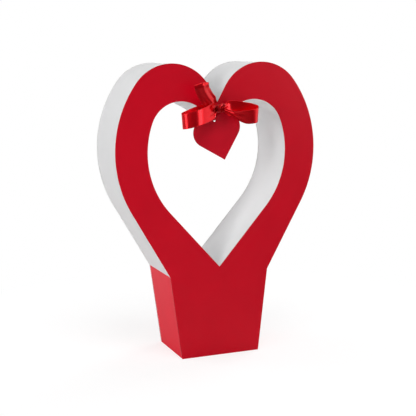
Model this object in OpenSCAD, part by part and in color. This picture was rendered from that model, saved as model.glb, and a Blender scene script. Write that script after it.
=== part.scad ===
// Heart-shaped card box on a tapered base, with a ribbon bow and a hanging heart tag.
// Lengths are in millimetres. +X is right, +Y runs from the front face to the back face, +Z is up.
// The origin is the middle of the underside of the base.

/* [Outline of the two faces] */
// Height from the table to the top of the lobes
box_h = 400; // [360:1:440]
// Outside depth, front face to back face
box_d = 91; // [70:1:120]
// Distance between the centres of the two lobe arcs
lobe_gap = 128; // [116:1:140]
// Radius of the lobe arcs
lobe_r = 60; // [54:0.5:66]
// Radius of the side arcs below the lobes
side_r = 156; // [140:1:175]
// Slope of the straight flanks of the notch, up from level
notch_deg = 61; // [55:0.5:66]
// Lean of the straight lower sides, from upright
flare_deg = 29.6; // [27:0.2:32]

/* [Base] */
// Width of the base where it meets the table
foot_w = 112.6; // [98:0.2:124]
// Width of the base at the kink, where the heart begins
waist_w = 142.2; // [130:0.2:156]
// Height of the kink above the table
waist_h = 115; // [104:1:124]

/* [Heart window] */
// Width of the card band over the top of the window
band_top = 49.6; // [44:0.2:56]
// Distance between the centres of the window's lobe arcs
window_gap = 104.6; // [96:0.2:112]
// Radius of the window's lobe arcs
window_lobe_r = 41.5; // [37:0.5:46]
// Radius of the window's side arcs
window_side_r = 119; // [107:1:130]
// Slope of the straight flanks beside the window's cusp, up from level
cusp_deg = 29; // [25:0.5:33]
// Height of the window's lower tip above the table
tip_h = 124.3; // [116:0.1:136]
// Lean of the straight sides of the window, from upright
tip_deg = 41.4; // [38:0.2:44]

/* [Card] */
// Thickness of the front and back faces
face_t = 1.5; // [1.2:0.1:2]
// Thickness of the white edge strips
strip_t = 0.8; // [0.6:0.1:1]
// Thickness of the base sides and the floor
base_t = 1.2; // [1:0.1:1.6]
// How far the strips and the base sides stand in from the edge of the faces
edge_inset = 0.4; // [0.2:0.1:0.8]

/* [Glue flaps] */
// Width of the glue flaps that are folded in along the strips
flap_w = 7; // [5:0.5:8]
// Length of one tooth of a flap, along a curve
tooth_l = 12; // [10:1:16]
// Opening of the notch between two teeth, at their free edge
tooth_gap = 2; // [1.2:0.1:3]
// Length of the tabs that overlap where two strips meet
lap_l = 11; // [9:0.5:12]
// Length of strip that is left without a flap beside those seams
lap_clear = 14; // [13:0.5:18]
// How far the outer strips tuck down behind the base sides
tuck_l = 14; // [10:1:18]
// Height of the flaps that stand up from the floor
floor_flap_h = 13; // [10:1:16]
// Gap kept between flaps that lie side by side
flap_gap = 1.5; // [1:0.1:3]

/* [Ribbon bow] */
// Width of the ribbon
ribbon_w = 20; // [16:0.5:24]
// Thickness of the ribbon
ribbon_t = 0.5; // [0.4:0.05:0.6]
// Sideways place of the knot
knot_x = -1; // [-3:0.5:3]
// Height of the knot below the top of the lobes
knot_drop = 60.2; // [59:0.2:61.6]
// Outside radius of the knot
knot_r = 5.2; // [5:0.1:6]
// Length of the knot along the loops
knot_l = 8.4; // [7:0.2:9]
// Thickness of the ribbon that is wrapped as the knot
knot_t = 1; // [0.8:0.1:1.2]
// Gap between the knot and the front face, where the thread and the tag hang
knot_back = 4.2; // [4:0.1:5]
// Length of the left loop
left_loop_l = 53.5; // [46:0.5:60]
// Length of the right loop
right_loop_l = 50.5; // [46:0.5:60]
// How far the front layer of the left loop swells forwards
left_front_d = 13.5; // [10:0.5:16]
// How far the front layer of the right loop swells forwards
right_front_d = 12; // [9:0.5:14]
// How far the back layer of the left loop swells backwards
left_back_d = 4; // [3:0.5:5]
// How far the back layer of the right loop swells backwards
right_back_d = 3; // [2:0.25:3.5]
// How far the end of the left loop stands further out than the knot
left_stand = 2; // [1:0.5:6]
// How far the end of the right loop stands further out than the knot
right_stand = 10; // [7:0.5:12]
// How far the end of the left loop hangs lower than the knot
left_drop = 14; // [9:0.5:17]
// How far the end of the right loop hangs lower than the knot
right_drop = 7.5; // [4:0.5:11]
// Lean of the left loop's end, its top to the left
left_lean_deg = 10; // [5:0.5:14]
// Lean of the right loop's end, its top to the left
right_lean_deg = 4; // [1:0.5:8]
// Turn of the left loop about its own length, its top towards the front
left_roll_deg = 14; // [8:1:20]
// Turn of the right loop near the knot
right_roll_deg = 38; // [30:1:40]
// Turn of the right loop at its end
right_end_roll_deg = 20; // [14:1:28]
// How far the tip of the loose end lies to the left of the knot
tail_out = 29; // [24:0.5:34]
// Height of the tip of the loose end above the knot
tail_up = 33; // [28:0.5:37]
// How far the tip of the loose end stands further out than the knot
tail_stand = 11; // [6:0.5:13]
// Lean of the loose end at its tip, from upright to the left
tail_lean_deg = 10; // [5:1:20]
// Twist of the loose end at its tip
tail_twist_deg = 14; // [8:1:20]
// How far the middle of the loose end stands out from its edges
tail_crown = 3; // [2:0.25:4]

/* [Wire and thread] */
// Diameter of the wire that holds the bow
wire_d = 0.8; // [0.6:0.05:1]
// Gap between the knot and each leg of the wire beside it
wire_side = 0.25; // [0.15:0.05:0.4]
// Length of the bent ends of the wire, behind the front face
wire_end_l = 7; // [5:0.5:9]
// Gap round the wire in its two holes
wire_clear = 0.2; // [0.1:0.05:0.3]
// Diameter of the thread that the tag hangs on
thread_d = 0.9; // [0.7:0.05:1]
// Length of the thread, from the wire to the hole in the tag
thread_l = 15.8; // [14.6:0.2:17]
// Distance from the front face to the middle of the thread's rear strand
thread_back = 1.2; // [1:0.05:1.3]
// Gap between the thread's eye and the wire
thread_clear = 0.06; // [0.03:0.01:0.1]

/* [Heart tag] */
// Width of the tag
tag_w = 68; // [60:1:72]
// Height of the hole above the tip of the tag
tag_hole_h = 54.6; // [50:0.2:56]
// Thickness of the tag
tag_t = 0.8; // [0.6:0.1:1]
// Radius of the rounding at the bottom of the tag's notch
tag_notch_r = 6; // [5:0.5:8]
// Radius of the hole in the tag
tag_hole_r = 1.4; // [1.2:0.1:1.8]
// Turn of the tag on its thread at rest, top to the left
tag_lean_deg = 15; // [10:1:20]
// Gap between the tag and the thread in front of it and behind it
tag_clear = 0.5; // [0.4:0.05:0.7]
// Gap between the thread and the top of the hole that hangs on it
tag_seat = 0.25; // [0.2:0.05:0.35]

/* [Hidden] */

// Roundness of true cylinders and the length of one step along the drawn curves
round_fn = 48;
curve_step = 4;
tag_step = 1.6;
// How far a cutting shape reaches past what it cuts
overrun = 1;

face_y = box_d / 2;
inside_y = face_y - face_t;
inside_d = 2 * inside_y;
strip_out = edge_inset;
strip_in = edge_inset + strip_t;

knot_z = box_h - knot_drop;
knot_y = -face_y - knot_back - knot_r;
bore_r = knot_r - knot_t;
wire_r = wire_d / 2;
thread_r = thread_d / 2;
wire_xs = [for (side = [-1, 1]) knot_x + side * (knot_l / 2 + wire_side + wire_r)];

red = "#b8142c";
base_red = "#c83c48";
white = "#e4e4e4";
satin = "#d0101c";
tag_red = "#b01a2c";
brass = "#a98a4c";

// Plain geometry
function unit(a) = [cos(a), sin(a)];
function unit3(v) = v / norm(v);
function last(list) = list[len(list) - 1];
function mirrored(points) = [for (p = points) [-p[0], p[1]]];
function reversed(list) = [for (i = [len(list) - 1 : -1 : 0]) list[i]];
function slice(list, a, b) = [for (i = [a : b]) list[i]];
function mix(a, b, share) = a + (b - a) * share;
function ease(x) = x * x * (3 - 2 * x);
// Where the line through p along u meets the line through q along v
function meet(p, u, q, v) =
  p + u * (((q[0] - p[0]) * v[1] - (q[1] - p[1]) * v[0]) / (u[0] * v[1] - u[1] * v[0]));
function arc_steps(r, a, b, step) = max(2, ceil(abs(b - a) * PI / 180 * r / step));
// Points of an arc of radius r - inset, stepped as the arc of radius r, so that every inset has as many
function arc(c, r, inset, a, b, step = curve_step) =
  let (n = arc_steps(r, a, b, step)) [for (i = [0 : n]) c + (r - inset) * unit(mix(a, b, i / n))];

// Half a heart, right of the middle: a straight flank, a lobe arc, a side arc and a straight side.
// Its numbers are: lobe centre, lobe radius, side radius, slope of the flank, foot of the side, lean of
// the side.
outer_heart = [
  [lobe_gap / 2, box_h - lobe_r], lobe_r, side_r, notch_deg, [waist_w / 2, waist_h], flare_deg
];
window_top = box_h - band_top;
window_heart = [
  [window_gap / 2, window_top - window_lobe_r], window_lobe_r, window_side_r, cusp_deg, [0, tip_h], tip_deg
];

function lobe_centre(h) = h[0];
function lobe_radius(h) = h[1];
function side_radius(h) = h[2];
function lobe_from(h) = 90 + h[3];
function foot_point(h) = h[4];
function side_lean(h) = h[5];
// The side arc touches the straight side and lies round the lobe arc
function side_centre(h) =
  let (
    along = [sin(side_lean(h)), cos(side_lean(h))],
    inward = [-cos(side_lean(h)), sin(side_lean(h))],
    lobe = lobe_centre(h) - foot_point(h),
    r = side_radius(h),
    drop = sqrt(pow(r - lobe_radius(h), 2) - pow(r - lobe * inward, 2))
  )
  foot_point(h) + inward * r + along * (lobe * along - drop);
function hand_over(h) =
  let (v = lobe_centre(h) - side_centre(h)) atan2(v[1], v[0]);
function flank_dir(h) = [-sin(lobe_from(h)), cos(lobe_from(h))];
function side_dir(h) = -[sin(side_lean(h)), cos(side_lean(h))];
// The curved stretch, from the flank to the straight side
function heart_curve(h, inset) =
  let (side = arc(side_centre(h), side_radius(h), inset, hand_over(h), -side_lean(h)))
  concat(
    arc(lobe_centre(h), lobe_radius(h), inset, lobe_from(h), hand_over(h)), slice(side, 1, len(side) - 1)
  );
// Where the flank and the straight side reach the middle line
function heart_cusp(h, inset) = meet(heart_curve(h, inset)[0], flank_dir(h), [0, 0], [0, 1]);
function heart_tip(h, inset) = meet(last(heart_curve(h, inset)), side_dir(h), [0, 0], [0, 1]);

// The sloping side of the base, and its kink with the side of the heart, at any two insets
side_up = [waist_w - foot_w, 2 * waist_h] / norm([waist_w - foot_w, 2 * waist_h]);
side_in = [-side_up[1], side_up[0]];
function side_foot(inset) = [foot_w / 2, 0] + side_in * inset;
function side_at(inset, z) = meet(side_foot(inset), side_up, [0, z], [1, 0]);
function kink(strip_inset, side_inset) =
  meet(last(heart_curve(outer_heart, strip_inset)), side_dir(outer_heart), side_foot(side_inset), side_up);

// Red faces
face_half = concat(
  [heart_cusp(outer_heart, 0)], heart_curve(outer_heart, 0), [kink(0, 0), side_foot(0)]
);
face_outline = concat(face_half, reversed(mirrored(slice(face_half, 1, len(face_half) - 1))));
window_half = concat(
  [heart_cusp(window_heart, 0)], heart_curve(window_heart, 0), [heart_tip(window_heart, 0)]
);
window_outline = concat(window_half, reversed(mirrored(slice(window_half, 1, len(window_half) - 2))));

// A plate in the plane of the faces, from one depth to another
module plate(y0, y1) {
  translate([0, y1, 0]) rotate([90, 0, 0]) linear_extrude(y1 - y0) children();
}

module face_plate(y0) {
  plate(y0, y0 + face_t) difference() {
    polygon(face_outline);
    polygon(window_outline);
  }
}

module front_face() {
  color(red) difference() {
    face_plate(-face_y);
    for (x = wire_xs) translate([x, -face_y - overrun, knot_z]) rotate([-90, 0, 0])
      cylinder(h = face_t + 2 * overrun, r = wire_r + wire_clear, $fn = round_fn);
  }
}

module back_face() {
  color(red) face_plate(inside_y);
}

// White edge strips. Their glue flaps are folded in along both long edges, with a notch between the
// teeth wherever the strip is curved, so that the flap can lie flat against the face.
// way is 1 where the hollow lies inside the heart, and -1 where it lies outside
tooth_steps = max(1, round(tooth_l / curve_step));
function nudged(a, b) = mix(a, b, tooth_gap / 2 / norm(b - a));
function tooth_row(h, way) =
  let (
    root = heart_curve(h, way * (edge_inset + strip_t / 2)),
    fold = heart_curve(h, way * (strip_in + strip_t)),
    free = heart_curve(h, way * (strip_in + flap_w)),
    count = floor((len(root) - 1) / tooth_steps)
  )
  concat(
    slice(root, 0, count * tooth_steps),
    [
      for (k = [count - 1 : -1 : 0])
        let (a = k * tooth_steps, b = a + tooth_steps)
        each [nudged(free[b], free[b - 1]), nudged(free[a], free[a + 1]), if (k > 0) fold[a]]
    ]
  );
// The plain flap along the straight side, from the end of the curve to end_gap short of the foot
function side_flap(h, way, foot, end_gap) =
  let (
    root = last(heart_curve(h, way * (edge_inset + strip_t / 2))),
    free = last(heart_curve(h, way * (strip_in + flap_w))),
    long = norm(foot - last(heart_curve(h, way * strip_in))) - end_gap,
    u = side_dir(h)
  )
  [root + u * flap_gap, root + u * long, free + u * (long - flap_w), free + u * (flap_gap + flap_w / 2)];
// The plain flap along the straight flank, clear of the seam
function flank_flap(h, way) =
  let (
    root = heart_curve(h, way * (edge_inset + strip_t / 2))[0],
    free = heart_curve(h, way * (strip_in + flap_w))[0],
    long = norm(heart_cusp(h, way * strip_in) - heart_curve(h, way * strip_in)[0]) - lap_clear,
    u = flank_dir(h)
  )
  [root + u * flap_gap, root + u * long, free + u * long, free + u * flap_gap];

module at_both_faces(t) {
  for (y0 = [-inside_y, inside_y - t]) plate(y0, y0 + t) children();
}

// The points of a tab that laps behind the other strip at a seam on the middle line. seam holds the
// seam's points at the strip's face, at its back and one thickness deeper, and u runs along the strip.
function lap_points(seam, u) =
  let (v = [-u[0], u[1]])
  [seam[0], seam[1], seam[1] + v * lap_l, seam[2] + v * lap_l, seam[2], seam[1] + u * (2 * strip_t)];
function seam_points(seam, u, lap) = lap ? lap_points(seam, u) : [seam[0], seam[1]];
seam_insets = [strip_out, strip_in, strip_in + strip_t];

// Outer strips, from the notch down to the base, where they tuck in behind the base sides
module outer_strip(lap) {
  h = outer_heart;
  notch = [for (inset = seam_insets) heart_cusp(h, inset)];
  out_end = kink(strip_out, edge_inset + base_t);
  in_end = kink(strip_in, edge_inset + base_t + strip_t);
  tuck_end = out_end - side_up * tuck_l;
  plate(-inside_y, inside_y) polygon(concat(
    reversed(seam_points(notch, -flank_dir(h), lap)), heart_curve(h, strip_out),
    [out_end, tuck_end, tuck_end + side_in * strip_t, in_end], reversed(heart_curve(h, strip_in))
  ));
  at_both_faces(strip_t) {
    polygon(tooth_row(h, 1));
    polygon(side_flap(h, 1, in_end, flap_gap));
    polygon(flank_flap(h, 1));
  }
}

module left_outer_strip() {
  color(white) mirror([1, 0, 0]) outer_strip(false);
}

module right_outer_strip() {
  color(white) outer_strip(true);
}

// Window strips, from the cusp round to the lower tip
module window_strip(lap) {
  h = window_heart;
  cusp = [for (inset = seam_insets) heart_cusp(h, -inset)];
  tip = [for (inset = seam_insets) heart_tip(h, -inset)];
  plate(-inside_y, inside_y) polygon(concat(
    reversed(seam_points(cusp, -flank_dir(h), lap)), heart_curve(h, -strip_out),
    seam_points(tip, -side_dir(h), lap), reversed(heart_curve(h, -strip_in))
  ));
  at_both_faces(strip_t) {
    polygon(tooth_row(h, -1));
    polygon(side_flap(h, -1, tip[1], lap_clear));
    polygon(flank_flap(h, -1));
  }
}

module left_window_strip() {
  color(white) mirror([1, 0, 0]) window_strip(false);
}

module right_window_strip() {
  color(white) window_strip(true);
}

// Sides of the base, with a flap folded in against each face
base_in = edge_inset + base_t;
module base_side() {
  flap_z0 = base_t + floor_flap_h + flap_gap;
  flap_z1 = waist_h - tuck_l - flap_w;
  plate(-inside_y, inside_y) polygon([
    side_at(edge_inset, 0), kink(strip_out, edge_inset), kink(strip_out, base_in), side_at(base_in, 0)
  ]);
  at_both_faces(base_t) polygon([
    side_at(edge_inset + base_t / 2, flap_z0), side_at(edge_inset + base_t / 2, flap_z1),
    side_at(base_in + flap_w, flap_z1 - flap_w / 2), side_at(base_in + flap_w, flap_z0 + flap_w / 2)
  ]);
}

module left_base_side() {
  color(base_red) mirror([1, 0, 0]) base_side();
}

module right_base_side() {
  color(base_red) base_side();
}

// Floor of the base, with a flap standing up along each edge
function both_sides(points) = concat(points, reversed(mirrored(points)));
module base_floor() {
  flap_z = base_t + floor_flap_h;
  corner = base_in + base_t + flap_gap;
  color(base_red) {
    plate(-inside_y, inside_y) polygon(both_sides([side_at(base_in, 0), side_at(base_in, base_t)]));
    at_both_faces(base_t) polygon(both_sides([side_at(corner, 0), side_at(corner + base_t, flap_z)]));
    for (side = [0, 1]) mirror([side, 0, 0])
      plate(-inside_y + corner - edge_inset, inside_y - corner + edge_inset)
      polygon([
        side_at(base_in, 0), side_at(base_in, flap_z), side_at(base_in + base_t, flap_z),
        side_at(base_in + base_t, 0)
      ]);
  }
}

// Ribbon: a thin band swept along stations, each a centre, a half width and the way its face looks.
// It is pleated where it is gathered: each fold stands out or in by the station's pleat depth.
// The last number of a station is how far the middle of the band stands out from its edges.
columns = 8;
function edge_share(j) = 2 * j / columns - 1;
module ribbon(stations) {
  n = len(stations) - 1;
  points = [
    for (s = stations, j = [0 : columns], side = [1, -1])
      let (pleat = s[3] * (j % 2 == 0 ? 1 : -1), crown = s[4] * (1 - pow(edge_share(j), 2)))
      s[0] + s[1] * edge_share(j) + s[2] * (side * ribbon_t / 2 + pleat + crown)
  ];
  function at(i, j, side) = (i * (columns + 1) + j) * 2 + side;
  function quad(a, b, c, d) = [[a, b, c], [a, c, d]];
  polyhedron(points, [
    for (i = [0 : n - 1], j = [0 : columns - 1]) each concat(
      quad(at(i, j, 0), at(i, j + 1, 0), at(i + 1, j + 1, 0), at(i + 1, j, 0)),
      quad(at(i, j, 1), at(i + 1, j, 1), at(i + 1, j + 1, 1), at(i, j + 1, 1))
    ),
    for (i = [0 : n - 1]) each concat(
      quad(at(i, 0, 0), at(i + 1, 0, 0), at(i + 1, 0, 1), at(i, 0, 1)),
      quad(at(i, columns, 0), at(i, columns, 1), at(i + 1, columns, 1), at(i + 1, columns, 0))
    ),
    for (j = [0 : columns - 1]) each concat(
      quad(at(0, j, 0), at(0, j, 1), at(0, j + 1, 1), at(0, j + 1, 0)),
      quad(at(n, j, 0), at(n, j + 1, 0), at(n, j + 1, 1), at(n, j, 1))
    )
  ]);
}

// The ribbon is gathered to this width and layer spacing where it passes through the knot
neck_w = 5;
neck_gap = 2;
neck_off = 0.4;
neck_clear = 0.2;
neck = [knot_x, knot_y - neck_off, knot_z];
front = [0, -1, 0];
pleat_depth = 0.2;
loop_steps = 36;
tail_steps = 16;
// How far from the knot the gathering ends
left_gather_l = 8;
right_gather_l = 15;
tail_gather_l = 12;
// How far outside the knot the loose end is still as narrow as in it
mouth_l = 1;
// Where along each loop its turn changes, from one share of its length to another
left_roll_shares = [0, 0.3];
right_roll_shares = [0.55, 1];
// A layer swells as this power of its share of the length, and closes round at the end
front_swell = 0.75;
back_swell = 0.45;
function swell(s, power) =
  pow(s, power) * sqrt(1 - s * s) / (pow(power / (1 + power), power / 2) / sqrt(1 + power));
function ramp(x) = ease(min(1, max(0, x)));

// A loop's numbers are: side, length, swell of its front and of its back layer, stand, drop, lean, gathering,
// turn near the knot, turn at the end, and where the turn changes. layer runs from 1 in front to -1 behind.
function loop_station(l, s, layer, reach) =
  let (
    roll = mix(l[8], l[9], ramp((s - l[10][0]) / (l[10][1] - l[10][0]))),
    up = [-sin(l[6] * s), 0, cos(l[6] * s)],
    across = up * cos(roll) + front * sin(roll),
    out = front * cos(roll) - up * sin(roll),
    depth = layer > 0 ? l[2] * swell(s, front_swell) : -l[3] * swell(s, back_swell),
    outside = max(0, reach - knot_l / 2)
  )
  [
    neck + [l[0] * reach, -l[4] * s, -l[5] * s] + out * (depth + neck_gap / 2 * layer),
    across, mix(neck_w, ribbon_w, ramp(outside / l[7])) / 2, pleat_depth * (1 - s), 0
  ];
function loop_stations(l) = swept(concat(
  [loop_station(l, 0, 1, neck_clear)],
  // One half turn: out along the front layer, and back along the other
  [
    for (i = [0 : loop_steps])
      let (a = 180 * i / loop_steps, s = sin(a))
      loop_station(l, s, cos(a), mix(knot_l / 2 + neck_clear, l[1], s))
  ],
  [loop_station(l, 0, -1, neck_clear)]
));
// Where the band runs aslant to its half width, that is made longer to keep the ribbon's own width
least_slant = 0.5;
function swept(rows) = [
  for (i = [0 : len(rows) - 1])
    let (
      tangent = unit3(rows[min(i + 1, len(rows) - 1)][0] - rows[max(i - 1, 0)][0]),
      face = cross(rows[i][1], tangent),
      half = rows[i][2] / max(least_slant, norm(face))
    )
    [rows[i][0], rows[i][1] * half, unit3(face), rows[i][3], rows[i][4]]
];

module left_bow_loop() {
  color(satin) ribbon(loop_stations([
    -1, left_loop_l, left_front_d, left_back_d, left_stand, left_drop, left_lean_deg, left_gather_l,
    0, left_roll_deg, left_roll_shares
  ]));
}

module right_bow_loop() {
  color(satin) ribbon(loop_stations([
    1, right_loop_l, right_front_d, right_back_d, right_stand, right_drop, right_lean_deg, right_gather_l,
    right_roll_deg, right_end_roll_deg, right_roll_shares
  ]));
}

// The loose end leaves the knot between the layers of the left loop, then bends upwards and forwards.
// Its run is a curve with four guide points: two ends, and one that each end heads for.
tail_lift = 2;
tail_reach = 13;
tail_hollow = 9;
module bow_tail() {
  start = [-neck_clear, 0, 0];
  first = [-knot_l, 0, tail_lift];
  tip = [-tail_out, -tail_stand, tail_up];
  second = tip + [tail_reach * sin(tail_lean_deg), tail_hollow, -tail_reach * cos(tail_lean_deg)];
  color(satin) ribbon(swept([
    for (i = [0 : tail_steps])
      let (
        s = i / tail_steps,
        t = 1 - s,
        place = t * t * t * start + 3 * s * t * t * first + 3 * s * s * t * second + s * s * s * tip,
        way = t * t * (first - start) + 2 * s * t * (second - first) + s * s * (tip - second),
        level = unit3(cross(way, front)),
        across = level * cos(tail_twist_deg * s) - front * sin(tail_twist_deg * s),
        open = ramp((norm(place) - knot_l / 2 - mouth_l) / tail_gather_l)
      )
      [
        neck + place, across, mix(neck_w / 2, ribbon_w, open) / 2,
        pleat_depth * (1 - s) / 2, tail_crown * open
      ]
  ]));
}

// The knot is a short band of ribbon wrapped round the gathered middle
module bow_knot() {
  bulge = knot_t / 4;
  color(satin) translate([knot_x, knot_y, knot_z]) rotate([0, 90, 0]) rotate_extrude($fn = round_fn) polygon([
    [bore_r, -knot_l / 2], [knot_r - bulge, -knot_l / 2], [knot_r, -knot_l / 4], [knot_r, knot_l / 4],
    [knot_r - bulge, knot_l / 2], [bore_r, knot_l / 2]
  ]);
}

// A round rod between two points
module rod(a, b, r) {
  v = b - a;
  translate(a) rotate([0, acos(v[2] / norm(v)), atan2(v[1], v[0])])
    cylinder(h = norm(v), r = r, $fn = round_fn);
}

module rod_path(points, r) {
  for (i = [1 : len(points) - 1]) rod(points[i - 1], points[i], r);
  for (i = [1 : len(points) - 2]) translate(points[i]) sphere(r = r, $fn = round_fn);
}

// The wire lies in the back of the knot, passes through the front face and is bent flat behind it
module bow_wire() {
  bridge_y = knot_y + bore_r - wire_r - thread_clear;
  bent_y = -inside_y + wire_r + wire_clear;
  color(brass) rod_path([
    [wire_xs[0], bent_y, knot_z + wire_end_l], [wire_xs[0], bent_y, knot_z], [wire_xs[0], bridge_y, knot_z],
    [wire_xs[1], bridge_y, knot_z], [wire_xs[1], bent_y, knot_z], [wire_xs[1], bent_y, knot_z + wire_end_l]
  ], wire_r);
}

// A tube round a closed path. The rings are carried along the path, and what they have turned by
// when they come back to the start is shared out among them.
tube_sides = 8;
function flattened(u, tangent) = unit3(u - tangent * (u * tangent));
module closed_tube(path, r) {
  n = len(path);
  tangents = [for (i = [0 : n - 1]) unit3(path[(i + 1) % n] - path[(i + n - 1) % n])];
  firsts = [
    for (i = 0, u = flattened(front, tangents[0]); i <= n; i = i + 1, u = flattened(u, tangents[i % n])) u
  ];
  side = cross(tangents[0], firsts[0]);
  slip = atan2(firsts[n] * side, firsts[n] * firsts[0]);
  points = [
    for (i = [0 : n - 1], k = [0 : tube_sides - 1])
      let (a = 360 * k / tube_sides - slip * i / n, v = cross(tangents[i], firsts[i]))
      path[i] + r * (cos(a) * firsts[i] + sin(a) * v)
  ];
  polyhedron(points, [
    for (i = [0 : n - 1], k = [0 : tube_sides - 1])
      let (
        i2 = (i + 1) % n, k2 = (k + 1) % tube_sides,
        a = i * tube_sides + k, b = i * tube_sides + k2, c = i2 * tube_sides + k2, d = i2 * tube_sides + k
      )
      each [[a, c, b], [a, d, c]]
  ]);
}

// The thread lies over the left leg of the wire, and hangs down through the hole in the tag
saddle_r = wire_r + thread_clear + thread_r;
rear_y = -face_y - thread_back;
tag_back_y = rear_y - thread_r - tag_clear;
fore_y = tag_back_y - tag_t - tag_clear - thread_r;
hang_x = wire_xs[0];
hang_z = knot_z - thread_l;
// How much of its length the thread's front strand stays out in front of the tag
strand_share = 0.73;
saddle_steps = 8;
bend_steps = 3;
module tag_thread() {
  bend_r = thread_d;
  color(satin) closed_tube([
    for (i = [0 : saddle_steps])
      let (a = 180 * i / saddle_steps)
      [hang_x + saddle_r * cos(a), rear_y, knot_z + saddle_r * sin(a)],
    for (i = [0 : bend_steps])
      let (a = 90 * i / bend_steps)
      [hang_x, rear_y - bend_r * (1 - cos(a)), hang_z + bend_r * (1 - sin(a))],
    for (i = [0 : bend_steps])
      let (a = 90 * i / bend_steps)
      [hang_x, fore_y + bend_r * (1 - sin(a)), hang_z + bend_r * (1 - cos(a))],
    [hang_x, fore_y, hang_z + thread_l * strand_share]
  ], thread_r);
}

// The tag is a square standing on its tip with a round lobe on each upper side
tag_lobe_r = tag_w / 2 / (1 + sqrt(1 / 2));
tag_lobe = [tag_lobe_r * sqrt(1 / 2), 3 * tag_lobe_r * sqrt(1 / 2)];
tag_notch = [0, tag_lobe[1] + sqrt(pow(tag_lobe_r + tag_notch_r, 2) - pow(tag_lobe[0], 2))];
module heart_tag() {
  to_notch = atan2(tag_notch[1] - tag_lobe[1], -tag_lobe[0]);
  hollow = arc(tag_notch, tag_notch_r, 0, to_notch - 180, -90, tag_step);
  lobe = arc(tag_lobe, tag_lobe_r, 0, -45, to_notch, tag_step);
  half = concat([[0, 0]], lobe, slice(hollow, 1, len(hollow) - 1));
  // The hole hangs on the thread, so its middle is a little lower
  hole_drop = tag_hole_r - thread_r - tag_seat;
  color(tag_red) translate([hang_x, 0, hang_z]) rotate([0, -tag_lean_deg, 0]) translate([0, 0, -hole_drop])
  difference() {
    translate([0, 0, -tag_hole_h]) plate(tag_back_y - tag_t, tag_back_y)
      polygon(concat(half, reversed(mirrored(slice(half, 1, len(half) - 2)))));
    translate([0, tag_back_y + overrun, 0]) rotate([90, 0, 0])
      cylinder(h = tag_t + 2 * overrun, r = tag_hole_r, $fn = round_fn);
  }
}

front_face();
back_face();
left_outer_strip();
right_outer_strip();
left_window_strip();
right_window_strip();
left_base_side();
right_base_side();
base_floor();
left_bow_loop();
right_bow_loop();
bow_tail();
bow_knot();
bow_wire();
tag_thread();
heart_tag();
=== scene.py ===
import bpy
import bmesh
from math import sin, cos, exp, pi, radians, sqrt
from mathutils import Vector, Matrix


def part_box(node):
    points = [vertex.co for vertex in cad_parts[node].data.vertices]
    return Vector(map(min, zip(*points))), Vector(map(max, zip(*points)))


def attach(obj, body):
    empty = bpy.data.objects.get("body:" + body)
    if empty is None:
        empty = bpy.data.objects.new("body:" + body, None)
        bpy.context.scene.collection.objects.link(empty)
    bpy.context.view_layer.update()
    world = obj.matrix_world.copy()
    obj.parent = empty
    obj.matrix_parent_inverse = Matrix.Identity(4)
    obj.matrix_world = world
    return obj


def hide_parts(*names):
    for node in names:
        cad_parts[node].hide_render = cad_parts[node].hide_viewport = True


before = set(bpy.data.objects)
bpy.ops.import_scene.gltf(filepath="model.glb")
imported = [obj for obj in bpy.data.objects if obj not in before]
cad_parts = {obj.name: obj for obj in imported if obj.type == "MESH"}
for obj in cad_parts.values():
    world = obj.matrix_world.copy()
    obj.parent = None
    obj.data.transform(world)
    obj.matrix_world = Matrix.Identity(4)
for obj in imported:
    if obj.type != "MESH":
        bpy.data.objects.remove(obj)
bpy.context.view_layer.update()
print("frame loaded:", len(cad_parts), "nodes")

mm = 0.001
upward = Vector((0, 0, 1))
forward = Vector((0, -1, 0))  # out of the front face

# the camera stands where the photograph was taken from
cameraSpot = {
    "place": (-496.4, -1295.2, 419.5), "azimuth": -21.04, "elevation": 9.05, "roll": -0.85,
    "lens": 87.1, "sensor": 36,
}


def setCamera(spot):
    azimuth, elevation, roll = (radians(spot[key]) for key in ("azimuth", "elevation", "roll"))
    back = Vector((sin(azimuth) * cos(elevation), -cos(azimuth) * cos(elevation), sin(elevation)))
    side = upward.cross(back).normalized()
    top = back.cross(side)
    right = side * cos(roll) + top * sin(roll)
    up = top * cos(roll) - side * sin(roll)
    camera = bpy.data.objects.new("camera", bpy.data.cameras.new("camera"))
    camera.data.lens = spot["lens"]
    camera.data.sensor_width = spot["sensor"]
    turned = Matrix((right, up, back)).transposed().to_4x4()
    camera.matrix_world = Matrix.Translation(Vector(spot["place"]) * mm) @ turned
    bpy.context.scene.collection.objects.link(camera)
    bpy.context.scene.camera = camera


setCamera(cameraSpot)
print("camera set")


# nodes, for materials and for geometry alike
def put(tree, kind, inputs=None, **settings):
    made = tree.nodes.new(kind)
    for key, value in settings.items():
        setattr(made, key, value)
    for key, value in (inputs or {}).items():
        if isinstance(value, bpy.types.NodeSocket):
            tree.links.new(value, made.inputs[key])
        else:
            made.inputs[key].default_value = value
    return made


def calc(tree, operation, *values):
    return put(tree, "ShaderNodeMath", dict(enumerate(values)), operation=operation).outputs[0]


def vectorCalc(tree, operation, *values):
    made = put(tree, "ShaderNodeVectorMath", dict(enumerate(values)), operation=operation)
    return made.outputs["Value"] if operation in ("DOT_PRODUCT", "LENGTH") else made.outputs["Vector"]


def scaledVector(tree, vector, factor):
    made = put(tree, "ShaderNodeVectorMath", {0: vector}, operation="SCALE")
    if isinstance(factor, bpy.types.NodeSocket):
        tree.links.new(factor, made.inputs["Scale"])
    else:
        made.inputs["Scale"].default_value = factor
    return made.outputs["Vector"]


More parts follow.
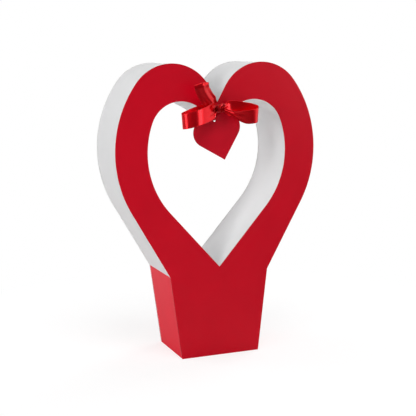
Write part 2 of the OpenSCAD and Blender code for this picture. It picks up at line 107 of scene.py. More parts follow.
# materials
def newMaterial(name, values):
    material = bpy.data.materials.new(name)
    material.use_nodes = True
    tree = material.node_tree
    shader = next(n for n in tree.nodes if n.type == "BSDF_PRINCIPLED")
    for socket, key in (
        ("Roughness", "roughness"), ("Specular IOR Level", "specular"), ("Metallic", "metallic"),
        ("Anisotropic", "anisotropic"), ("Coat Weight", "coat"), ("Coat Roughness", "coatRoughness"),
        ("Sheen Weight", "sheen"), ("Sheen Roughness", "sheenRoughness"),
    ):
        if key in values:
            shader.inputs[socket].default_value = values[key]
    return material, tree, shader


def noise(tree, where, size, detail=2, roughness=0.5):
    settings = {"Vector": where, "Scale": 1 / (size * mm), "Detail": detail, "Roughness": roughness}
    return put(tree, "ShaderNodeTexNoise", settings).outputs["Fac"]


def ramp(tree, factor, stops, low, high):
    made = put(tree, "ShaderNodeValToRGB", {"Fac": factor})
    for element, position, color in zip(made.color_ramp.elements, stops, (low, high)):
        element.position, element.color = position, (*color, 1)
    return made.outputs["Color"]


def mixColor(tree, factor, a, b):
    made = put(tree, "ShaderNodeMix", {0: factor}, data_type="RGBA", blend_type="MIX")
    for socket, value in ((made.inputs[6], a), (made.inputs[7], b)):
        if isinstance(value, bpy.types.NodeSocket):
            tree.links.new(value, socket)
        else:
            socket.default_value = (*value, 1)
    return made.outputs[2]


def mapRange(tree, value, fromLow, fromHigh, toLow, toHigh):
    spans = {0: value, 1: fromLow, 2: fromHigh, 3: toLow, 4: toHigh}
    return put(tree, "ShaderNodeMapRange", spans).outputs[0]


def bump(tree, height, depth, strength=1.0, below=None):
    made = put(tree, "ShaderNodeBump", {"Height": height, "Distance": depth * mm, "Strength": strength})
    if below is not None:
        tree.links.new(below, made.inputs["Normal"])
    return made.outputs["Normal"]


def shade(color, factor):
    return tuple(min(1, channel * factor) for channel in color)


def shaded(tree, factor, color, shades, stops=(0.3, 0.7)):  # one colour, darker and lighter by turns
    return ramp(tree, factor, stops, shade(color, shades[0]), shade(color, shades[1]))


redCard = {
    "color": (0.575, 0.0017, 0.0138), "mottle": 0.025, "mottleSize": 46,
    "grainSize": 0.45, "grainDepth": 0.018, "fibreSize": 5.0, "fibreStretch": 6, "fibreStrength": 0.5,
    "roughness": 0.26, "specular": 0.18,
}
# painted sheen and light: the base is the same red card as the faces, given a lighter, paler red that stands
# in for the sheen and strong light on its sides
basePaintedSheenCard = {**redCard, "color": (0.80, 0.020, 0.041), "roughness": 0.5, "specular": 0.16}
tagCard = {**redCard, "color": (0.53, 0.003, 0.016), "mottleSize": 20}
whiteCard = {
    "color": (0.725, 0.725, 0.73), "mottle": 0.012, "mottleSize": 30,
    "grainSize": 0.6, "grainDepth": 0.02, "fibreSize": 4.0, "fibreStretch": 6, "fibreStrength": 0.5,
    "roughness": 0.55, "specular": 0.25,
}
# painted light: the window strips are the same white card, painted lighter to stand in for light the inner
# walls lack
windowPaintedLightCard = {**whiteCard, "color": (0.775, 0.775, 0.78)}
whiteCore = {
    "light": (0.80, 0.78, 0.77), "dark": (0.62, 0.58, 0.57),
    "layers": 0.16, "layerStretch": 40, "layerDepth": 0.05, "roughness": 0.8, "specular": 0.1,
}
redCore = {**whiteCore, "light": (0.56, 0.012, 0.025), "dark": (0.44, 0.006, 0.016)}


def cardMaterial(name, values):  # laminated card: fine tooth, faint mottle and a few long fibres
    material, tree, shader = newMaterial(name, values)
    where = put(tree, "ShaderNodeTexCoord").outputs["Object"]
    mottle = noise(tree, where, values["mottleSize"], 3)
    color = shaded(tree, mottle, values["color"], (1 - values["mottle"], 1 + values["mottle"]))
    tree.links.new(color, shader.inputs["Base Color"])
    tooth = noise(tree, where, values["grainSize"], 4, 0.6)
    stretch = (1, 1, values["fibreStretch"])
    stretched = put(tree, "ShaderNodeMapping", {"Vector": where, "Scale": stretch}).outputs["Vector"]
    fibres = noise(tree, stretched, values["fibreSize"], 5, 0.65)
    toothed = bump(tree, tooth, values["grainDepth"])
    relief = bump(tree, fibres, values["grainDepth"] * 2, values["fibreStrength"], toothed)
    tree.links.new(relief, shader.inputs["Normal"])
    return material


def cutEdgeMaterial(name, values):  # the cut through the card, where its pressed layers show
    material, tree, shader = newMaterial(name, values)
    where = put(tree, "ShaderNodeTexCoord").outputs["Object"]
    stretch = values["layerStretch"]
    layered = put(tree, "ShaderNodeMapping", {"Vector": where, "Scale": (1, stretch, 1)}).outputs["Vector"]
    layers = noise(tree, layered, values["layers"] * stretch)
    color = ramp(tree, layers, (0.35, 0.65), values["dark"], values["light"])
    tree.links.new(color, shader.inputs["Base Color"])
    tree.links.new(bump(tree, layers, values["layerDepth"]), shader.inputs["Normal"])
    return material


satin = {
    "color": (0.90, 0.0012, 0.010), "dark": (0.66, 0.0008, 0.007), "darkShare": 0.55,
    # hollow and its share are painted shade: the pleat valleys near the knot are darkened towards near black
    "hollow": (0.10, 0.0003, 0.002), "paintedShadeShare": 0.95,
    "floatSize": 0.12, "floatLength": 0.03, "floatShades": (0.88, 1.08), "floatRise": 0.03,
    "selvedge": 0.8, "selvedgeShare": 0.8, "weftSize": 0.35, "weftRise": 0.35,
    "relief": 0.05, "reliefStrength": 0.8, "roughness": 0.3, "metallic": 0.76, "anisotropic": 0.65,
    "specular": 0.15, "coat": 0.48, "coatRoughness": 0.2,
}


def satinMaterial(name, values, width):  # long floats run along the ribbon, with a corded edge on each side
    material, tree, shader = newMaterial(name, values)
    uv = put(tree, "ShaderNodeUVMap", uv_map="ribbonMap").outputs["UV"]
    u, v, _ = put(tree, "ShaderNodeSeparateXYZ", {0: uv}).outputs
    stretch = (1, values["floatLength"], 1)
    floats = put(tree, "ShaderNodeMapping", {"Vector": uv, "Scale": stretch}).outputs["Vector"]
    floatNoise = noise(tree, floats, values["floatSize"], 3)
    weft = calc(tree, "SINE", calc(tree, "MULTIPLY", v, 2 * pi / (values["weftSize"] * mm)))
    selvedge = values["selvedge"] * mm
    edgeStart, edgeEnd = width / 2 - selvedge, width / 2 - selvedge * values["selvedgeShare"]
    edge = mapRange(tree, calc(tree, "ABSOLUTE", u), edgeStart, edgeEnd, 0, 1)
    color = shaded(tree, floatNoise, values["color"], values["floatShades"], (0.35, 0.65))
    color = mixColor(tree, calc(tree, "MULTIPLY", edge, values["darkShare"]), color, values["dark"])
    # painted shade: the pleat valleys marked by the ribbon tree are darkened towards the hollow colour
    hollow = put(tree, "ShaderNodeAttribute", attribute_name="paintedPleatShade").outputs["Fac"]
    color = mixColor(tree, calc(tree, "MULTIPLY", hollow, values["paintedShadeShare"]), color, values["hollow"])
    tree.links.new(color, shader.inputs["Base Color"])
    cord = calc(tree, "ADD", calc(tree, "MULTIPLY", weft, values["weftRise"]), 1.0)
    cord = calc(tree, "MULTIPLY", edge, cord)
    height = calc(tree, "ADD", calc(tree, "MULTIPLY", floatNoise, values["floatRise"]), cord)
    relief = bump(tree, height, values["relief"], values["reliefStrength"])
    tree.links.new(relief, shader.inputs["Normal"])
    tangent = put(tree, "ShaderNodeTangent", direction_type="UV_MAP", uv_map="ribbonMap").outputs[0]
    tree.links.new(tangent, shader.inputs["Tangent"])
    return material


yarn = {
    "color": (0.50, 0.012, 0.022), "shades": (0.7, 1.25), "fibreSize": 0.09, "fibreDepth": 0.03,
    "roughness": 0.75, "specular": 0.25, "sheen": 0.3, "sheenRoughness": 0.5,
}
wireMetal = {
    "color": (0.62, 0.42, 0.19), "shades": (0.8, 1.1), "scratchSize": 0.25, "scratchLength": 0.1,
    "roughnesses": (0.25, 0.45), "metallic": 1.0,
}


def yarnMaterial(name, values):
    material, tree, shader = newMaterial(name, values)
    where = put(tree, "ShaderNodeTexCoord").outputs["Object"]
    fibres = noise(tree, where, values["fibreSize"], 4, 0.7)
    tree.links.new(shaded(tree, fibres, values["color"], values["shades"]), shader.inputs["Base Color"])
    tree.links.new(bump(tree, fibres, values["fibreDepth"]), shader.inputs["Normal"])
    return material


def wireMaterial(name, values):
    material, tree, shader = newMaterial(name, values)
    where = put(tree, "ShaderNodeTexCoord").outputs["Object"]
    stretch = (1, values["scratchLength"], 1)
    drawn = put(tree, "ShaderNodeMapping", {"Vector": where, "Scale": stretch}).outputs["Vector"]
    marks = noise(tree, drawn, values["scratchSize"], 4, 0.6)
    tree.links.new(shaded(tree, marks, values["color"], values["shades"]), shader.inputs["Base Color"])
    tree.links.new(mapRange(tree, marks, 0.3, 0.7, *values["roughnesses"]), shader.inputs["Roughness"])
    return material


ribbonWidth = 20 * mm
redFinish = cardMaterial("redCard", redCard)
basePaintedSheenFinish = cardMaterial("basePaintedSheenCard", basePaintedSheenCard)
tagFinish = cardMaterial("tagCard", tagCard)
whiteFinish = cardMaterial("whiteCard", whiteCard)
windowPaintedLightFinish = cardMaterial("windowPaintedLightCard", windowPaintedLightCard)
faceEdgeFinish = cutEdgeMaterial("faceCutEdge", whiteCore)
tagEdgeFinish = cutEdgeMaterial("tagCutEdge", redCore)
satinFinish = satinMaterial("satinRibbon", satin, ribbonWidth)
yarnFinish = yarnMaterial("tagThread", yarn)
wireFinish = wireMaterial("bowWire", wireMetal)
print("materials made:", len(bpy.data.materials))


def addPiece(name, mesh, body, slot, *nodes):
    piece = bpy.data.objects.new(name, mesh)
    bpy.context.scene.collection.objects.link(piece)
    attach(piece, body)
    if nodes:
        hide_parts(*nodes)
    return piece


cardCut = {"merge": 0.001, "flatTurn": 0.3, "edgeTurn": 40, "smoothTurn": 20, "rounds": 2, "baseTop": 115}
faceSoftness, stripSoftness = 0.1, 0.08


# card pieces are the frame's own shapes, merged, with their cut edges eased
# inward is the way a face's unprinted side looks along Y
def cardPiece(node, name, body, slot, face, edge=None, softness=faceSoftness, inward=0):
    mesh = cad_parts[node].data.copy()
    mesh.name = name
    mesh.materials.clear()
    mesh.materials.append(face)
    if edge:
        mesh.materials.append(edge)
    if inward:
        mesh.materials.append(whiteFinish)
    work = bmesh.new()
    work.from_mesh(mesh)
    flatTurn, edgeTurn = radians(cardCut["flatTurn"]), radians(cardCut["edgeTurn"])
    bmesh.ops.remove_doubles(work, verts=work.verts, dist=cardCut["merge"] * mm)
    bmesh.ops.dissolve_limit(work, angle_limit=flatTurn, verts=work.verts, edges=work.edges)
    sharp = [e for e in work.edges if len(e.link_faces) == 2 and e.calc_face_angle(0) > edgeTurn]
    bmesh.ops.bevel(
        work, geom=sharp, offset=softness * mm, segments=cardCut["rounds"], profile=0.5,
        affect="EDGES", clamp_overlap=True,
    )
    redBelow = cardCut["baseTop"] * mm if inward else 0  # the faces' cut edges are dyed red along the base
    for side in work.faces:
        cut = edge and abs(side.normal.y) < 0.5 and side.calc_center_median().z > redBelow
        side.material_index = 1 if cut else 2 if inward * side.normal.y > 0.5 else 0
        side.smooth = True
    work.to_mesh(mesh)
    work.free()
    mesh.set_sharp_from_angle(angle=radians(cardCut["smoothTurn"]))
    return addPiece(name, mesh, body, slot, node)


for node, name, inward in (("front_face", "frontFace", 1), ("back_face", "backFace", -1)):
    cardPiece(node, name, "box", "red_card", redFinish, faceEdgeFinish, inward=inward)
# the base pieces take the lighter, paler red, which is painted sheen
for node, name in (
    ("left_base_side", "leftBaseSide"), ("right_base_side", "rightBaseSide"), ("base_floor", "baseFloor"),
):
    cardPiece(node, name, "box", "red_card", basePaintedSheenFinish)
for node in ("left_outer_strip", "right_outer_strip", "left_window_strip", "right_window_strip"):
    side, place, _ = node.split("_")
    # the window strips take the lighter white, which is painted light
    finish = windowPaintedLightFinish if place == "window" else whiteFinish
    cardPiece(node, side + place.title() + "Strip", "box", "white_card", finish, softness=stripSoftness)
cardPiece("heart_tag", "heartTag", "tag", "tag_card", tagFinish, tagEdgeFinish)
print("card pieces dressed")


# one tree sweeps every ribbon: a grid laid along a spine, pleated where the spine says that it is gathered,
# with its pleat valleys marked for painted shade
def newTree(name, *sockets):
    tree = bpy.data.node_groups.new(name, "GeometryNodeTree")
    tree.interface.new_socket("Geometry", in_out="INPUT", socket_type="NodeSocketGeometry")
    for label, kind, value in sockets:
        socket = tree.interface.new_socket(label, in_out="INPUT", socket_type="NodeSocket" + kind)
        if value is not None:
            socket.default_value = value
    tree.interface.new_socket("Geometry", in_out="OUTPUT", socket_type="NodeSocketGeometry")
    return tree, tree.nodes.new("NodeGroupInput").outputs


def closeTree(tree, geometry, material):
    real = put(tree, "GeometryNodeRealizeInstances", {"Geometry": geometry})
    painted = put(tree, "GeometryNodeSetMaterial", {"Geometry": real.outputs[0], "Material": material})
    tree.links.new(painted.outputs[0], tree.nodes.new("NodeGroupOutput").inputs[0])


def sampled(tree, geometry, kind, value, index):
    made = tree.nodes.new("GeometryNodeSampleIndex")
    made.data_type = kind
    made.clamp = True
    tree.links.new(geometry, made.inputs["Geometry"])
    tree.links.new(value, next(s for s in made.inputs if s.name == "Value" and s.enabled))
    tree.links.new(index, made.inputs["Index"])
    return next(s for s in made.outputs if s.enabled)


def named(tree, kind, label):
    made = put(tree, "GeometryNodeInputNamedAttribute", {"Name": label}, data_type=kind)
    return next(s for s in made.outputs if s.enabled and s.name == "Attribute")


def stored(tree, geometry, label, value, kind, domain):
    given = {"Geometry": geometry, "Name": label}
    made = put(tree, "GeometryNodeStoreNamedAttribute", given, data_type=kind, domain=domain)
    tree.links.new(value, next(s for s in made.inputs if s.name == "Value" and s.enabled))
    return made.outputs[0]


def makeRibbonTree():
    tree, given = newTree(
        "ribbonSweep", ("Stations", "Int", 2), ("Columns", "Int", 24), ("Width", "Float", ribbonWidth),
        ("Pleats", "Float", 3.0), ("Pleat Depth", "Float", 1.0 * mm), ("Pleat Shift", "Float", 0.0),
        ("Crown", "Float", 0.0), ("Shown Side", "Float", 1.0), ("Material", "Material", None),
    )
    spine = given["Geometry"]
    grid = put(tree, "GeometryNodeMeshGrid", {
        "Size X": 1.0, "Size Y": 1.0, "Vertices X": given["Columns"], "Vertices Y": given["Stations"],
    }).outputs["Mesh"]
    position = put(tree, "GeometryNodeInputPosition").outputs[0]
    x, y, _ = put(tree, "ShaderNodeSeparateXYZ", {0: position}).outputs
    share = calc(tree, "ADD", y, 0.5)
    row = calc(tree, "ROUND", calc(tree, "MULTIPLY", share, calc(tree, "SUBTRACT", given["Stations"], 1.0)))
    at = sampled(tree, spine, "FLOAT_VECTOR", position, row)
    following = sampled(tree, spine, "FLOAT_VECTOR", position, calc(tree, "ADD", row, 1.0))
    before = sampled(tree, spine, "FLOAT_VECTOR", position, calc(tree, "SUBTRACT", row, 1.0))
    across = sampled(tree, spine, "FLOAT_VECTOR", named(tree, "FLOAT_VECTOR", "across"), row)
    gather = sampled(tree, spine, "FLOAT", named(tree, "FLOAT", "gather"), row)
    tight = sampled(tree, spine, "FLOAT", named(tree, "FLOAT", "tight"), row)
    run = sampled(tree, spine, "FLOAT", named(tree, "FLOAT", "run"), row)
    tangent = vectorCalc(tree, "SUBTRACT", following, before)
    facing = vectorCalc(tree, "NORMALIZE", vectorCalc(tree, "CROSS_PRODUCT", across, tangent))
    turn = calc(tree, "MULTIPLY", calc(tree, "ADD", calc(tree, "ADD", x, 0.5), given["Pleat Shift"]), 2 * pi)
    wave = calc(tree, "SINE", calc(tree, "MULTIPLY", turn, given["Pleats"]))
    pleat = calc(tree, "MULTIPLY", calc(tree, "MULTIPLY", wave, gather), given["Pleat Depth"])
    bow = calc(tree, "SUBTRACT", 1.0, calc(tree, "MULTIPLY", calc(tree, "MULTIPLY", x, x), 4.0))
    loose = calc(tree, "SUBTRACT", 1.0, tight)
    crown = calc(tree, "MULTIPLY", calc(tree, "MULTIPLY", bow, given["Crown"]), loose)
    rise = calc(tree, "ADD", pleat, crown)
    place = vectorCalc(tree, "ADD", at, scaledVector(tree, across, calc(tree, "MULTIPLY", x, 2.0)))
    place = vectorCalc(tree, "ADD", place, scaledVector(tree, facing, rise))
    # the map is read before the grid is bent, in metres across and along the ribbon
    metresAcross = calc(tree, "MULTIPLY", x, given["Width"])
    mapped = put(tree, "ShaderNodeCombineXYZ", {0: metresAcross, 1: run}).outputs[0]
    flat = stored(tree, grid, "ribbonMap", mapped, "FLOAT2", "CORNER")
    bent = put(tree, "GeometryNodeSetPosition", {"Geometry": flat, "Position": place}).outputs[0]
    # painted shade: the valleys of the pleats on the shown side are marked, more where the ribbon is
    # gathered, for the satin to darken
    shown = calc(tree, "MULTIPLY", calc(tree, "MULTIPLY", wave, given["Shown Side"]), 0.5)
    hollow = calc(tree, "MULTIPLY", calc(tree, "SUBTRACT", 0.5, shown), gather)
    marked = stored(tree, bent, "paintedPleatShade", hollow, "FLOAT", "POINT")
    closeTree(tree, marked, given["Material"])
    return tree


ribbonTree = makeRibbonTree()


def grownMesh(name, source, tree, inputs):
    holder = bpy.data.objects.new(name + "Source", source)
    bpy.context.scene.collection.objects.link(holder)
    modifier = holder.modifiers.new(tree.name, "NODES")
    modifier.node_group = tree
    for item in tree.interface.items_tree:
        if item.in_out == "INPUT" and item.name in inputs:
            modifier[item.identifier] = inputs[item.name]
    shown = holder.evaluated_get(bpy.context.evaluated_depsgraph_get())
    mesh = bpy.data.meshes.new_from_object(shown)
    mesh.name = name
    holder.modifiers.clear()
    bpy.data.objects.remove(holder)
    return mesh


# a station is its place, its half width as a vector, how far it is pleated and how tight it is held
def spineMesh(name, stations):
    mesh = bpy.data.meshes.new(name + "Spine")
    mesh.from_pydata([s[0] for s in stations], [(i, i + 1) for i in range(len(stations) - 1)], [])
    run = [0.0]
    for a, b in zip(stations, stations[1:]):
        run.append(run[-1] + (b[0] - a[0]).length)
    across = [c for s in stations for c in s[1]]
    mesh.attributes.new("across", "FLOAT_VECTOR", "POINT").data.foreach_set("vector", across)
    gather, tight = [s[2] for s in stations], [s[3] for s in stations]
    for label, amounts in (("gather", gather), ("tight", tight), ("run", run)):
        mesh.attributes.new(label, "FLOAT", "POINT").data.foreach_set("value", amounts)
    return mesh, run[-1]


def thicken(piece, thickness):
    solid = piece.modifiers.new("thickness", "SOLIDIFY")
    solid.thickness = thickness * mm
    solid.offset = 0
    solid.use_even_offset = False


def ribbonMesh(name, stations, values):
    spine, length = spineMesh(name, stations)
    mesh = grownMesh(name, spine, ribbonTree, {
        "Stations": len(stations), "Columns": values["columns"], "Width": ribbonWidth,
        "Pleats": values["pleats"], "Pleat Depth": values["pleatDepth"] * mm,
        "Pleat Shift": values["pleatShift"], "Crown": values["crown"] * mm,
        "Shown Side": values["shownSide"], "Material": satinFinish,
    })
    return mesh, length


def ribbonPiece(name, node, *runs):  # one ribbon in one piece or, at the knot, a few runs of it
    whole, total = None, 0.0
    for i, (stations, values) in enumerate(runs):
        mesh, length = ribbonMesh(name if i == 0 else name + str(i), stations, values)
        total += length
        if i == 0:
            whole = mesh
            continue
        work = bmesh.new()
        work.from_mesh(whole)
        work.from_mesh(mesh)
        work.to_mesh(whole)
        work.free()
    for face in whole.polygons:
        face.use_smooth = True
    piece = addPiece(name, whole, "box", "satin_ribbon", node)
    thicken(piece, runs[0][1]["thickness"])
    return piece


def mix(a, b, share):
    return a + (b - a) * share


def ease(x):
    x = min(1, max(0, x))
    return x * x * (3 - 2 * x)


# the knot is where the frame has it, to the micron, and the loops and the loose end meet at its neck
bowNeck = {"ahead": 0.4, "width": 5.4, "gap": 2.0}
knotSpans = list(zip(*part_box("bow_knot")))
knotMiddle = Vector([round((low + high) / 2 / mm, 3) for low, high in knotSpans])
knotMouth, _, knotRadius = (round((high - low) / 2 / mm, 3) for low, high in knotSpans)
neck = knotMiddle + forward * bowNeck["ahead"]
ribbonSheet = {
    "columns": 49, "pleats": 2.0, "pleatDepth": 1.0, "pleatShift": 0.1, "crown": 0.0, "shownSide": 1.0,
    "thickness": 0.35,
}
leftLoop = {
    "way": -1, "long": 53.5, "stand": 2.0, "drop": 15.0, "lean": 3.0, "shift": 3.8, "shiftTo": 0.4,
    "frontDepth": 13.0, "frontSwell": 0.85, "backDepth": 4.0, "backSwell": 0.45,
    "frontRoll": -3.0, "backRoll": -3.0, "endRoll": -3.0, "rollFrom": 0.0, "rollTo": 0.3,
    "frontGather": 6.5, "backGather": 6.5, "frontPleat": 20.0, "backPleat": 20.0,
    "puff": 0.0, "puffAt": 0.06, "puffWidth": 0.1, "puffRoll": 0.0, "steps": 140, "insideSteps": 6,
}
rightLoop = {
    **leftLoop, "way": 1, "long": 50.5, "stand": 10.0, "drop": 7.5, "lean": 1.0, "shift": 6.0,
    "frontDepth": 11.0, "frontRoll": 26.0, "backRoll": -2.0, "endRoll": 14.0,
    "rollFrom": 0.55, "rollTo": 1.0,
    "frontGather": 34.0, "backGather": 9.0, "frontPleat": 28.0, "backPleat": 12.0,
    "puff": 2.2, "puffAt": 0.09, "puffWidth": 0.14, "puffRoll": -9.0,
}
rightSheet = {**ribbonSheet, "pleatShift": 0.4, "shownSide": -1.0}


def swell(share, power):  # a layer's stand from the middle of its loop, 1 at most
    peak = sqrt(power / (1 + power)) ** power / sqrt(1 + power)
    return share ** power * sqrt(max(0, 1 - share * share)) / peak


def loopStation(values, share, layer, reach):  # share runs from the knot's mouth to the loop's end
    front = (1 + layer) / 2
    rolled = ease((share - values["rollFrom"]) / (values["rollTo"] - values["rollFrom"]))
    puffed = exp(-((share - values["puffAt"]) / values["puffWidth"]) ** 2) * max(0, -layer)
    roll = mix(mix(values["backRoll"], values["frontRoll"], front), values["endRoll"], rolled)
    roll = radians(roll + values["puffRoll"] * puffed)
    gather = mix(values["backGather"], values["frontGather"], front)
    pleat = mix(values["backPleat"], values["frontPleat"], front)
    lean = radians(values["lean"]) * share
    up = Vector((-sin(lean), 0, cos(lean)))
    across = up * cos(roll) + forward * sin(roll)
    out = forward * cos(roll) - up * sin(roll)
    if layer > 0:
        depth = values["frontDepth"] * swell(share, values["frontSwell"])
    else:
        depth = values["puff"] * puffed - values["backDepth"] * swell(share, values["backSwell"])
    place = neck + Vector((values["way"] * reach, -values["stand"] * share, -values["drop"] * share))
    outside = max(0, reach - knotMouth)
    hang = values["shift"] / 2 * layer * ease(share / values["shiftTo"])  # the front layer hangs lower
    place -= up * hang
    return [
        (place + out * (depth + bowNeck["gap"] / 2 * layer)) * mm, across,
        ease(outside / gather), 1 - ease(outside / pleat),
    ]


def loopStations(values):
    inside = values["insideSteps"]
    stations = [loopStation(values, 0, 1, knotMouth * i / inside) for i in range(inside)]
    for i in range(values["steps"] + 1):
        angle = pi * i / values["steps"]
        reach = mix(knotMouth, values["long"], sin(angle))
        stations.append(loopStation(values, sin(angle), cos(angle), reach))
    stations += [loopStation(values, 0, -1, knotMouth * (inside - 1 - i) / inside) for i in range(inside)]
    return widened(stations, bowNeck["width"])


leastSlant = 0.5


def widened(stations, narrow):  # where the ribbon runs aslant, its full width is measured square to its run
    finished = []
    for i, (place, across, opened, gather) in enumerate(stations):
        run = stations[min(i + 1, len(stations) - 1)][0] - stations[max(i - 1, 0)][0]
        slant = max(leastSlant, across.cross(run.normalized()).length)
        half = mix(narrow, ribbonWidth / mm / slant, opened) / 2
        finished.append((place, across * half * mm, gather, 1 - opened))
    return finished


ribbonPiece("leftBowLoop", "left_bow_loop", (loopStations(leftLoop), ribbonSheet))
ribbonPiece("rightBowLoop", "right_bow_loop", (loopStations(rightLoop), rightSheet))

tail = {
    "first": (-8.4, 0.0, 2.0), "tip": (-29.5, -13.0, 33.5), "endLean": 10.0, "endReach": 13.0, "hollow": 9.0,
    "turn": 2.0, "curl": 2.4, "curlFrom": 0.9, "neckWidth": 3.0, "mouth": 1.0, "gatherLength": 12.0,
    "pleatLength": 60.0, "steps": 80,
}
tailSheet = {**ribbonSheet, "pleatDepth": 1.3, "crown": 3.5}


def tailStations(values):
    tip, first = Vector(values["tip"]), Vector(values["first"])
    lean = radians(values["endLean"])
    reach = values["endReach"]
    second = tip + Vector((sin(lean) * reach, values["hollow"], -cos(lean) * reach))
    stations = []
    for i in range(values["steps"] + 1):
        s = i / values["steps"]
        place = first * (3 * s * (1 - s) ** 2) + second * (3 * s * s * (1 - s)) + tip * s ** 3
        way = first * (1 - s) ** 2 + (second - first) * (2 * s * (1 - s)) + (tip - second) * (s * s)
        curled = max(0, s - values["curlFrom"]) / (1 - values["curlFrom"])  # the cut end curls back a little
        place -= forward * (values["curl"] * curled * curled)
        turn = radians(values["turn"]) * s
        across = way.cross(forward).normalized()
        across = across * cos(turn) + forward * sin(turn)
        outside = place.length - knotMouth
        opened = ease((outside - values["mouth"]) / values["gatherLength"])
        stations.append([(neck + place) * mm, across, opened, 1 - ease(outside / values["pleatLength"])])
    return widened(stations, values["neckWidth"])


ribbonPiece("bowTail", "bow_tail", (tailStations(tail), tailSheet))

knotWrap = {"turns": 1.12, "steps": 90, "tilt": 8.0, "flatten": 0.92, "inset": 0.9, "rise": 0.35}
knotSheet = {**ribbonSheet, "pleats": 3.5, "pleatDepth": 0.95, "pleatShift": 0.2, "crown": 0.5}
foldSheet = {**ribbonSheet, "pleats": 2.5, "pleatDepth": 0.9}


def knotStations(values):
    stations = []
    for i in range(values["steps"] + 1):
        angle = 2 * pi * values["turns"] * i / values["steps"] + pi / 2
        reach = knotRadius - values["inset"] + values["rise"] * i / values["steps"]
        place = knotMiddle + Vector((0, -cos(angle) * reach, sin(angle) * reach * values["flatten"]))
        tilt = radians(values["tilt"]) * sin(angle)
        across = Vector((cos(tilt), 0, sin(tilt)))
        # gathered all round, so the painted shade in the wrap's pleat valleys is at full strength
        stations.append((place * mm, across * knotMouth * mm, 1.0, 0.0))
    return stations


# slack of the knot's ribbon that stands up beside it: its arch, its depth ahead of the neck and its slant
leftFold = {
    "arch": ((-4.5, -3.6), (-5.6, 0.4), (-7.4, 3.4), (-10.0, 3.2), (-11.6, 0.2), (-11.4, -3.4)),
    "ahead": 6.5, "half": 3.6, "slant": 12.0, "steps": 8,
}
rightFold = {
    "arch": ((1.2, 1.5), (1.8, 4.0), (3.8, 5.8), (6.4, 5.6), (9.0, 3.6)),
    "ahead": 1.8, "half": 3.4, "slant": -15.0, "steps": 8,
}


def foldStations(values):
    points = [Vector((x, -values["ahead"], z)) for x, z in values["arch"]]
    slant = radians(values["slant"])
    across = forward * cos(slant) + Vector((sin(slant), 0, 0))
    stations, steps = [], values["steps"]
    for k in range(len(points) - 1):
        a, b, c, d = (points[min(max(k + j, 0), len(points) - 1)] for j in (-1, 0, 1, 2))
        for i in range(steps + (k == len(points) - 2)):
            t = i / steps
            square, cube = a * 2 - b * 5 + c * 4 - d, b * 3 - a - c * 3 + d
            place = (b * 2 + (c - a) * t + square * t * t + cube * t ** 3) / 2
            # gathered all through, so the painted shade in the fold's pleat valleys is at full strength
            stations.append(((neck + place) * mm, across * values["half"] * mm, 1.0, 0.0))
    return stations


ribbonPiece(
    "bowKnot", "bow_knot", (knotStations(knotWrap), knotSheet),
    (foldStations(leftFold), foldSheet), (foldStations(rightFold), foldSheet),
)
print("bow made")

filletSteps = 6


# thread and wire: a tree lays one or more plies along a path, twisted together
def makeStrandTree(name, plies):
    tree, given = newTree(
        name, ("Ply Radius", "Float", 0.2 * mm), ("Ply Offset", "Float", 0.0), ("Turns", "Int", 0),
        ("Rings", "Int", 100), ("Sides", "Int", 12), ("Bend Radius", "Float", 0.5 * mm),
        ("Material", "Material", None),
    )
    path = put(tree, "GeometryNodeMeshToCurve", {"Mesh": given["Geometry"]}).outputs[0]
    bent = put(tree, "GeometryNodeFilletCurve", {
        "Curve": path, "Radius": given["Bend Radius"], "Count": filletSteps, "Limit Radius": True,
    }, mode="POLY").outputs[0]
    rings = {"Curve": bent, "Count": given["Rings"]}
    even = put(tree, "GeometryNodeResampleCurve", rings, mode="COUNT").outputs[0]
    share = put(tree, "GeometryNodeSplineParameter").outputs["Factor"]
    normal = put(tree, "GeometryNodeInputNormal").outputs[0]
    side = vectorCalc(tree, "CROSS_PRODUCT", put(tree, "GeometryNodeInputTangent").outputs[0], normal)
    turn = calc(tree, "MULTIPLY", calc(tree, "MULTIPLY", share, given["Turns"]), 2 * pi)
    profile = put(tree, "GeometryNodeCurvePrimitiveCircle", {
        "Resolution": given["Sides"], "Radius": given["Ply Radius"],
    }).outputs["Curve"]
    joined = tree.nodes.new("GeometryNodeJoinGeometry")
    for ply in range(plies):
        angle = calc(tree, "ADD", turn, 2 * pi * ply / plies)
        level = calc(tree, "MULTIPLY", calc(tree, "COSINE", angle), given["Ply Offset"])
        aside = calc(tree, "MULTIPLY", calc(tree, "SINE", angle), given["Ply Offset"])
        offset = vectorCalc(tree, "ADD", scaledVector(tree, normal, level), scaledVector(tree, side, aside))
        moved = put(tree, "GeometryNodeSetPosition", {"Geometry": even, "Offset": offset}).outputs[0]
        swept = {"Curve": moved, "Profile Curve": profile, "Fill Caps": True}
        tube = put(tree, "GeometryNodeCurveToMesh", swept).outputs[0]
        tree.links.new(tube, joined.inputs[0])
    closeTree(tree, joined.outputs[0], given["Material"])
    return tree


def strandPiece(name, node, body, slot, finish, points, values, closed):
    path = bpy.data.meshes.new(name + "Path")
    edges = [(i, i + 1) for i in range(len(points) - 1)] + ([(len(points) - 1, 0)] if closed else [])
    path.from_pydata([Vector(p) * mm for p in points], edges, [])
    mesh = grownMesh(name, path, makeStrandTree(name + "Strand", values["plies"]), {
        "Ply Radius": values["plyRadius"] * mm, "Ply Offset": values["plyOffset"] * mm,
        "Turns": values["turns"], "Rings": values["rings"], "Bend Radius": values["bendRadius"] * mm,
        "Material": finish,
    })
    work = bmesh.new()
    work.from_mesh(mesh)
    bmesh.ops.recalc_face_normals(work, faces=work.faces)
    for face in work.faces:
        face.smooth = len(face.verts) == 4
    work.to_mesh(mesh)
    work.free()
    return addPiece(name, mesh, body, slot, node)


def heldSpan(node, radius):  # where the middle of a strand runs inside its node's box, in millimetres
    low, high = (Vector(corner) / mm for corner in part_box(node))
    inset = Vector((radius, radius, radius))
    return low + inset, high - inset


